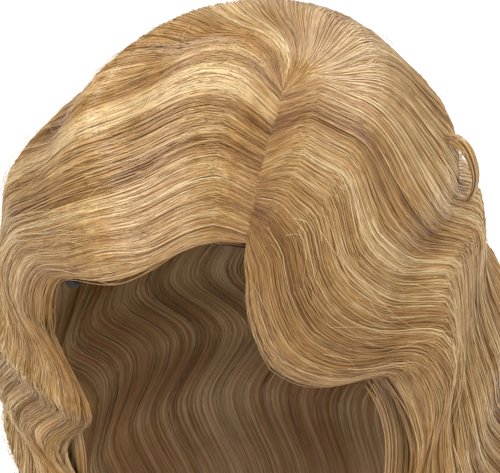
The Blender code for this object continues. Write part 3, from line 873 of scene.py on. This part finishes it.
def build_flipped_lock():
    """A thin lock that leaves the surface, bends outwards and comes back to it."""
    luck = np.random.default_rng(401)
    count = 46
    share = np.linspace(-0.12, 1.10, 20)[None, :]
    facing = math.radians(FLIP_FACING_DEG)
    away = REACH * (FLIP_REACH[0] + (FLIP_REACH[1] - FLIP_REACH[0]) * share)
    chart = np.stack([away * math.sin(facing), -away * math.cos(facing)], axis=-1)
    inner = inner_form(chart)
    outer = outer_form(chart)
    out = outer - inner
    out = out / np.linalg.norm(out, axis=-1)[..., None]
    arch = np.sin(math.pi * np.clip(share, 0.0, 1.0)) ** 0.8
    spin = luck.uniform(0.0, 2 * math.pi, count)[:, None]
    wide = FLIP_RADIUS * np.sqrt(luck.uniform(0.0, 1.0, count))[:, None] * (1.0 - 0.35 * share)
    ahead = np.gradient(outer + out * (FLIP_OUT * arch)[..., None], axis=1)
    ahead = ahead / np.linalg.norm(ahead, axis=-1)[..., None]
    aside = np.cross(ahead, out)
    aside = aside / np.linalg.norm(aside, axis=-1)[..., None]
    turn = spin + 1.4 * share
    lift = FLIP_RADIUS + FLIP_CLEAR * 0.3 + FLIP_OUT * arch - 0.004 * np.clip(-share / 0.12, 0, 1)
    lift = lift - 0.003 * np.clip((share - 1.0) / 0.1, 0, 1) + wide * np.cos(turn)
    points = outer + out * lift[..., None] + aside * (1.6 * wide * np.sin(turn))[..., None]
    radius = STRAND_RADIUS * (0.5 + 0.5 * np.sin(math.pi * np.clip(share * 0.8 + 0.12, 0, 1)))
    radius = radius + np.zeros((count, 1))
    tone = 0.52 + 0.14 * luck.normal(0.0, 1.0, count)[:, None] + 0.0 * share
    strands = {"points": points, "radius": radius, "tone": tone, "shade": 0.05 + 0.0 * tone}
    body = build_tubes("flipped_strands", [strands], strand_material)
    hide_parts("flipped_lock")


def build_loose_hairs():
    """Single hairs that stand off the combed surface in low, wandering arcs."""
    luck = np.random.default_rng(501)
    count = LOOSE_HAIRS
    steps = np.linspace(0.0, 1.0, 12)[None, :]
    place = luck.uniform(0.0, 1.0, count)[:, None]
    begin = luck.uniform(0.03, 0.85, count)[:, None]
    run = luck.uniform(0.07, 0.26, count)[:, None]
    share = np.minimum(begin + run * steps, 1.0)
    drift = luck.normal(0.0, 0.020, count)[:, None] * steps**1.5
    bend = luck.normal(0.0, 0.010, count)[:, None] * np.sin(math.pi * steps)
    here = np.clip(place + drift + bend, 0.0, 1.0)
    skin = hair_skin(here, share)
    arc = luck.uniform(0.0006, 0.0050, count)[:, None] * np.sin(math.pi * steps * 0.9 + 0.1)
    height = skin["top"] * edge_round(here) + 0.0004 + arc
    points = skin["inner"] + skin["out"] * height[..., None]
    radius = LOOSE_RADIUS * (1.0 - 0.5 * steps) + np.zeros((count, 1))
    tone = 0.72 + 0.12 * luck.normal(0.0, 1.0, count)[:, None] + 0.0 * steps
    strands = {"points": points, "radius": radius, "tone": tone, "shade": 0.0 * tone}
    build_tubes("loose_hairs", [strands], strand_material)


# The cap.

def cap_point(facing, depth, inset):
    """A point on the cap's inner face at a depth under the crown, moved in towards the head."""
    turn = math.acos(max(1.0 - depth / CROWN_HEIGHT, 0.0))
    drop = max(depth - CROWN_HEIGHT, 0.0)
    width = HEAD_HALF_WIDTH * math.sin(turn) * (1.0 - 0.3 * drop) - inset
    length = HEAD_HALF_LENGTH * math.sin(turn) * (1.0 - 2.4 * drop**1.5) - inset
    return (width * math.sin(facing), HEAD_CENTRE_Y - length * math.cos(facing), -depth)


def rim_depth(facing_deg):
    turned = min(facing_deg % 360.0, 360.0 - facing_deg % 360.0)
    return float(smooth(np.array(turned), RIM_TABLE["facing_deg"], RIM_TABLE["depth"]))


def plain_rows(lines, radius, tone):
    """Lines of points as tubes of one radius and tone."""
    points = np.array(lines)
    flat = np.ones(points.shape[:2])
    return {"points": points, "radius": flat * radius, "tone": flat * tone, "shade": flat * 0.0}


def build_net_material():
    """Dark stretch net: a fine lattice of threads, in bump and tone."""
    material, tree, shader = new_material("cap_net", Specular_IOR_Level=0.2, Sheen_Weight=0.04)
    where = tree.nodes.new("ShaderNodeTexCoord")
    mesh_cells = shader_node(tree, "ShaderNodeTexVoronoi", feature="DISTANCE_TO_EDGE")
    mesh_cells.inputs["Scale"].default_value = 520.0
    mesh_cells.inputs["Randomness"].default_value = 0.25
    join(tree, where.outputs["Object"], mesh_cells.inputs["Vector"])
    thread = math_node(tree, "MULTIPLY", mesh_cells.outputs["Distance"], 9.0)
    thread = math_node(tree, "SUBTRACT", 1.0, shader_clamp(tree, thread))
    colour = mix_colours(tree, thread, (0.010, 0.006, 0.004), (0.060, 0.036, 0.022))
    join(tree, colour, shader.inputs["Base Color"])
    rough = math_node(tree, "MULTIPLY", thread, -0.2)
    join(tree, math_node(tree, "ADD", rough, 0.85), shader.inputs["Roughness"])
    bump = tree.nodes.new("ShaderNodeBump")
    bump.inputs["Strength"].default_value = 0.7
    bump.inputs["Distance"].default_value = 0.0006
    join(tree, thread, bump.inputs["Height"])
    join(tree, bump.outputs["Normal"], shader.inputs["Normal"])
    return material


def build_tape_material():
    """Dark woven tape of the rim and of the sewn rows."""
    material, tree, shader = new_material("cap_tape", Specular_IOR_Level=0.3, Sheen_Weight=0.2)
    where = tree.nodes.new("ShaderNodeTexCoord")
    weave = shader_node(tree, "ShaderNodeTexNoise", noise_dimensions="3D")
    weave.inputs["Scale"].default_value = 900.0
    weave.inputs["Detail"].default_value = 3.0
    join(tree, where.outputs["Object"], weave.inputs["Vector"])
    colour = mix_colours(tree, weave.outputs["Fac"], (0.018, 0.010, 0.007), (0.085, 0.050, 0.030))
    join(tree, colour, shader.inputs["Base Color"])
    join(tree, math_node(tree, "ADD", weave.outputs["Fac"], 0.25), shader.inputs["Roughness"])
    bump = tree.nodes.new("ShaderNodeBump")
    bump.inputs["Strength"].default_value = 0.6
    bump.inputs["Distance"].default_value = 0.0004
    join(tree, weave.outputs["Fac"], bump.inputs["Height"])
    join(tree, bump.outputs["Normal"], shader.inputs["Normal"])
    return material


def build_skin_material():
    """The parting's skin-toned mesh, with the dark specks of single roots."""
    material, tree, shader = new_material("parting_skin", Specular_IOR_Level=0.3)
    where = tree.nodes.new("ShaderNodeTexCoord")
    roots = shader_node(tree, "ShaderNodeTexVoronoi", feature="F1")
    roots.inputs["Scale"].default_value = 900.0
    join(tree, where.outputs["Object"], roots.inputs["Vector"])
    speck = shader_clamp(tree, math_node(tree, "MULTIPLY", roots.outputs["Distance"], 2.4))
    colour = mix_colours(tree, speck, (0.20, 0.12, 0.06), (0.66, 0.50, 0.36))
    join(tree, colour, shader.inputs["Base Color"])
    join(tree, math_node(tree, "ADD", math_node(tree, "MULTIPLY", speck, 0.2), 0.45), shader.inputs["Roughness"])
    bump = tree.nodes.new("ShaderNodeBump")
    bump.inputs["Strength"].default_value = 0.5
    bump.inputs["Distance"].default_value = 0.0003
    join(tree, speck, bump.inputs["Height"])
    join(tree, bump.outputs["Normal"], shader.inputs["Normal"])
    return material


def paint_node(node, material):
    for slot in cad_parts[node].material_slots:
        slot.material = material


def build_cap():
    tape = build_tape_material()
    paint_node("cap", build_net_material())
    paint_node("parting_strip", build_skin_material())
    rows = []
    for depth in np.arange(0.030, 0.128, 0.0105):
        facings = np.linspace(96.0, 264.0, 64)
        kept = [min(depth, rim_depth(facing) - 0.004) for facing in facings]
        rows.append([cap_point(math.radians(f), d, 0.0006) for f, d in zip(facings, kept)])
    build_tubes("sewn_rows", [plain_rows(rows, 0.0011, 0.5)], tape, sides=6)
    facings = np.linspace(0.0, 360.0, 121)
    rim = [cap_point(math.radians(f), rim_depth(f) - 0.002, 0.0004) for f in facings]
    build_tubes("rim_tape", [plain_rows([rim], 0.0016, 0.5)], tape, sides=8)


build_camera()
build_studio()
build_hair()
build_under_hair()
build_flipped_lock()
build_loose_hairs()
build_cap()
